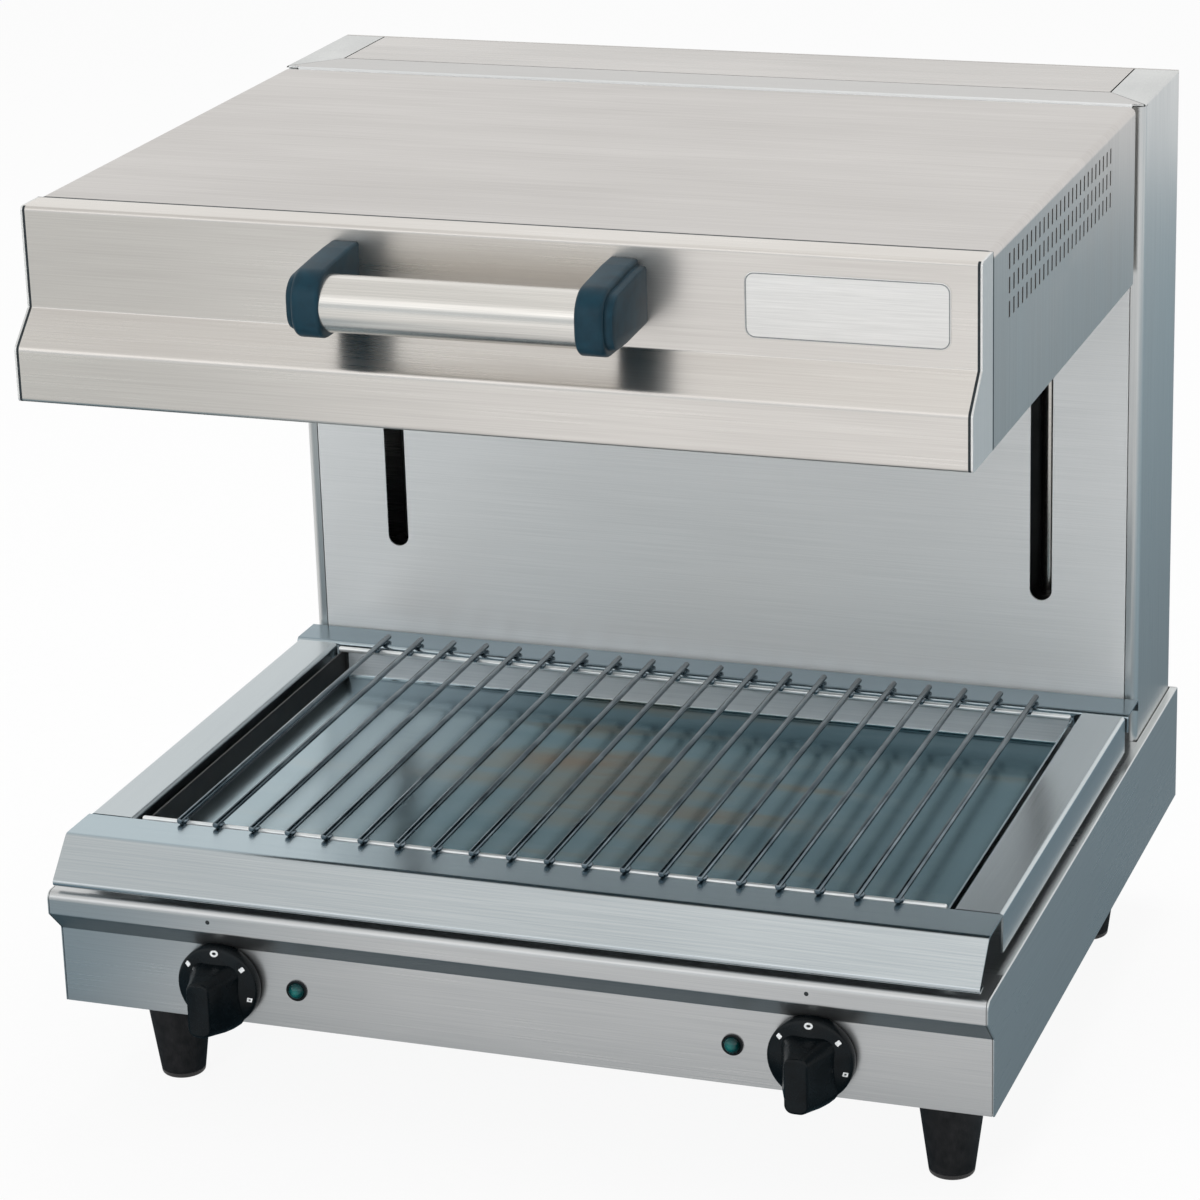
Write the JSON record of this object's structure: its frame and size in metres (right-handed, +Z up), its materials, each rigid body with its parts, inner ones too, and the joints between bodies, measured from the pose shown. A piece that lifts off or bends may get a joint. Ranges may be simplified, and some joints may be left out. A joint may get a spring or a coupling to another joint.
{
  "type": "salamander grill",
  "caption": "Counter-top electric salamander grill with a lift hood on a rear column, a wire rack over a drip tray, knobs and pilot lamps.",
  "frame": {"origin": "middle of the bounding box at the counter, under the feet", "axes": "+X to the user's right across the width, -Y towards the user (the control panel faces -Y), +Z up"},
  "size_m": [0.6, 0.574, 0.588],
  "materials": {
    "stainless_sheet": "brushed, satin",
    "chromed_wire": "bright plated",
    "brushed_tube": "brushed along its length",
    "handle_plastic": "moulded, satin",
    "knob_plastic": "moulded, gloss",
    "foot_plastic": "moulded, matt",
    "lamp_lens": "clear tinted",
    "lamp_body": "moulded, gloss",
    "switch_plastic": "moulded, matt",
    "plated_steel": "ground or plated",
    "painted_steel": "primed",
    "cast_iron": "as cast, painted",
    "aluminium": "machined",
    "bronze": "turned",
    "rubber": "moulded",
    "nylon": "moulded",
    "element_sheath": "oxidised sheath",
    "mineral_wool": "felted fibre"
  },
  "bodies": {
    "base": {"base_side_left": "stainless_sheet", "base_side_right": "stainless_sheet", "control_panel": "stainless_sheet", "base_floor": "stainless_sheet", "base_deck": "stainless_sheet", "foot_front_left": "foot_plastic", "foot_front_right": "foot_plastic", "foot_rear_left": "foot_plastic", "foot_rear_right": "foot_plastic", "column_side_left": "stainless_sheet", "column_side_right": "stainless_sheet", "column_front_panel": "stainless_sheet", "column_top_cover": "stainless_sheet", "column_rear_cover": "stainless_sheet", "rear_strip": "stainless_sheet", "frame_rail_left": "stainless_sheet", "frame_rail_right": "stainless_sheet", "tray_runners": "stainless_sheet", "guide_rods": "plated_steel", "lower_beam": "painted_steel", "lift_stops": "rubber", "pulley_beam": "painted_steel", "pulley_pins": "plated_steel", "weight_guides": "painted_steel", "switch_left": "switch_plastic", "switch_right": "switch_plastic", "lamp_bezels": "lamp_body", "lamp_lenses": "lamp_lens", "terminal_block": "nylon", "cable_gland": "nylon", "lift_cable_bends": "plated_steel", "lift_cables_rear": "plated_steel"},
    "hood": {"hood_cover": "stainless_sheet", "hood_front_panel": "stainless_sheet", "hood_end_cap_left": "stainless_sheet", "hood_end_cap_right": "stainless_sheet", "hood_rear_panel": "stainless_sheet", "reflector": "stainless_sheet", "insulation_pad": "mineral_wool", "heating_element_left": "element_sheath", "heating_element_right": "element_sheath", "element_supports": "stainless_sheet", "handle_bracket_left": "handle_plastic", "handle_bracket_right": "handle_plastic", "handle_tube": "brushed_tube", "lift_arms": "painted_steel", "carriage_beam": "painted_steel", "slide_blocks": "aluminium", "guide_bushes": "bronze", "lift_cables_front": "plated_steel"},
    "counterweight": {"counterweight": "cast_iron"},
    "pulley_left": {"pulley_left": "nylon"},
    "pulley_right": {"pulley_right": "nylon"},
    "knob_left": {"knob_left": "knob_plastic", "spindle_left": "plated_steel"},
    "knob_right": {"knob_right": "knob_plastic", "spindle_right": "plated_steel"},
    "tray": {"tray_front": "stainless_sheet", "drip_pan": "stainless_sheet"},
    "rack": {"wire_rack": "chromed_wire"}
  },
  "joints": [
    {"name": "hood_lift", "type": "slide", "parent": "base", "child": "hood", "axis": [0, 0, 1], "range_m": [-0.23, 0], "deforming": ["lift_cables_front", "lift_cables_rear"]},
    {"name": "counterweight_rise", "type": "slide", "parent": "base", "child": "counterweight", "axis": [0, 0, 1], "range_m": [0, 0.23]},
    {"name": "pulley_left_spin", "type": "hinge", "parent": "base", "child": "pulley_left", "pos_m": [-0.15, 0.23, 0.551], "axis": [1, 0, 0], "range_deg": [0, 600]},
    {"name": "pulley_right_spin", "type": "hinge", "parent": "base", "child": "pulley_right", "pos_m": [0.15, 0.23, 0.551], "axis": [1, 0, 0], "range_deg": [0, 600]},
    {"name": "knob_left_turn", "type": "hinge", "parent": "base", "child": "knob_left", "pos_m": [-0.1905, -0.233, 0.102], "axis": [0, -1, 0], "range_deg": [-120, 120]},
    {"name": "knob_right_turn", "type": "hinge", "parent": "base", "child": "knob_right", "pos_m": [0.1905, -0.233, 0.102], "axis": [0, -1, 0], "range_deg": [-120, 120]},
    {"name": "tray_slide", "type": "slide", "parent": "base", "child": "tray", "axis": [0, -1, 0], "range_m": [0, 0.25]},
    {"name": "rack_lift", "type": "slide", "parent": "tray", "child": "rack", "axis": [0, 0, 1], "range_m": [0, 0.045]}
  ],
  "couplings": [
    {"joint": "counterweight_rise", "follows": "hood_lift", "ratio": -1},
    {"joint": "pulley_left_spin", "follows": "hood_lift", "rad_per_m": -45.455},
    {"joint": "pulley_right_spin", "follows": "hood_lift", "rad_per_m": -45.455}
  ]
}
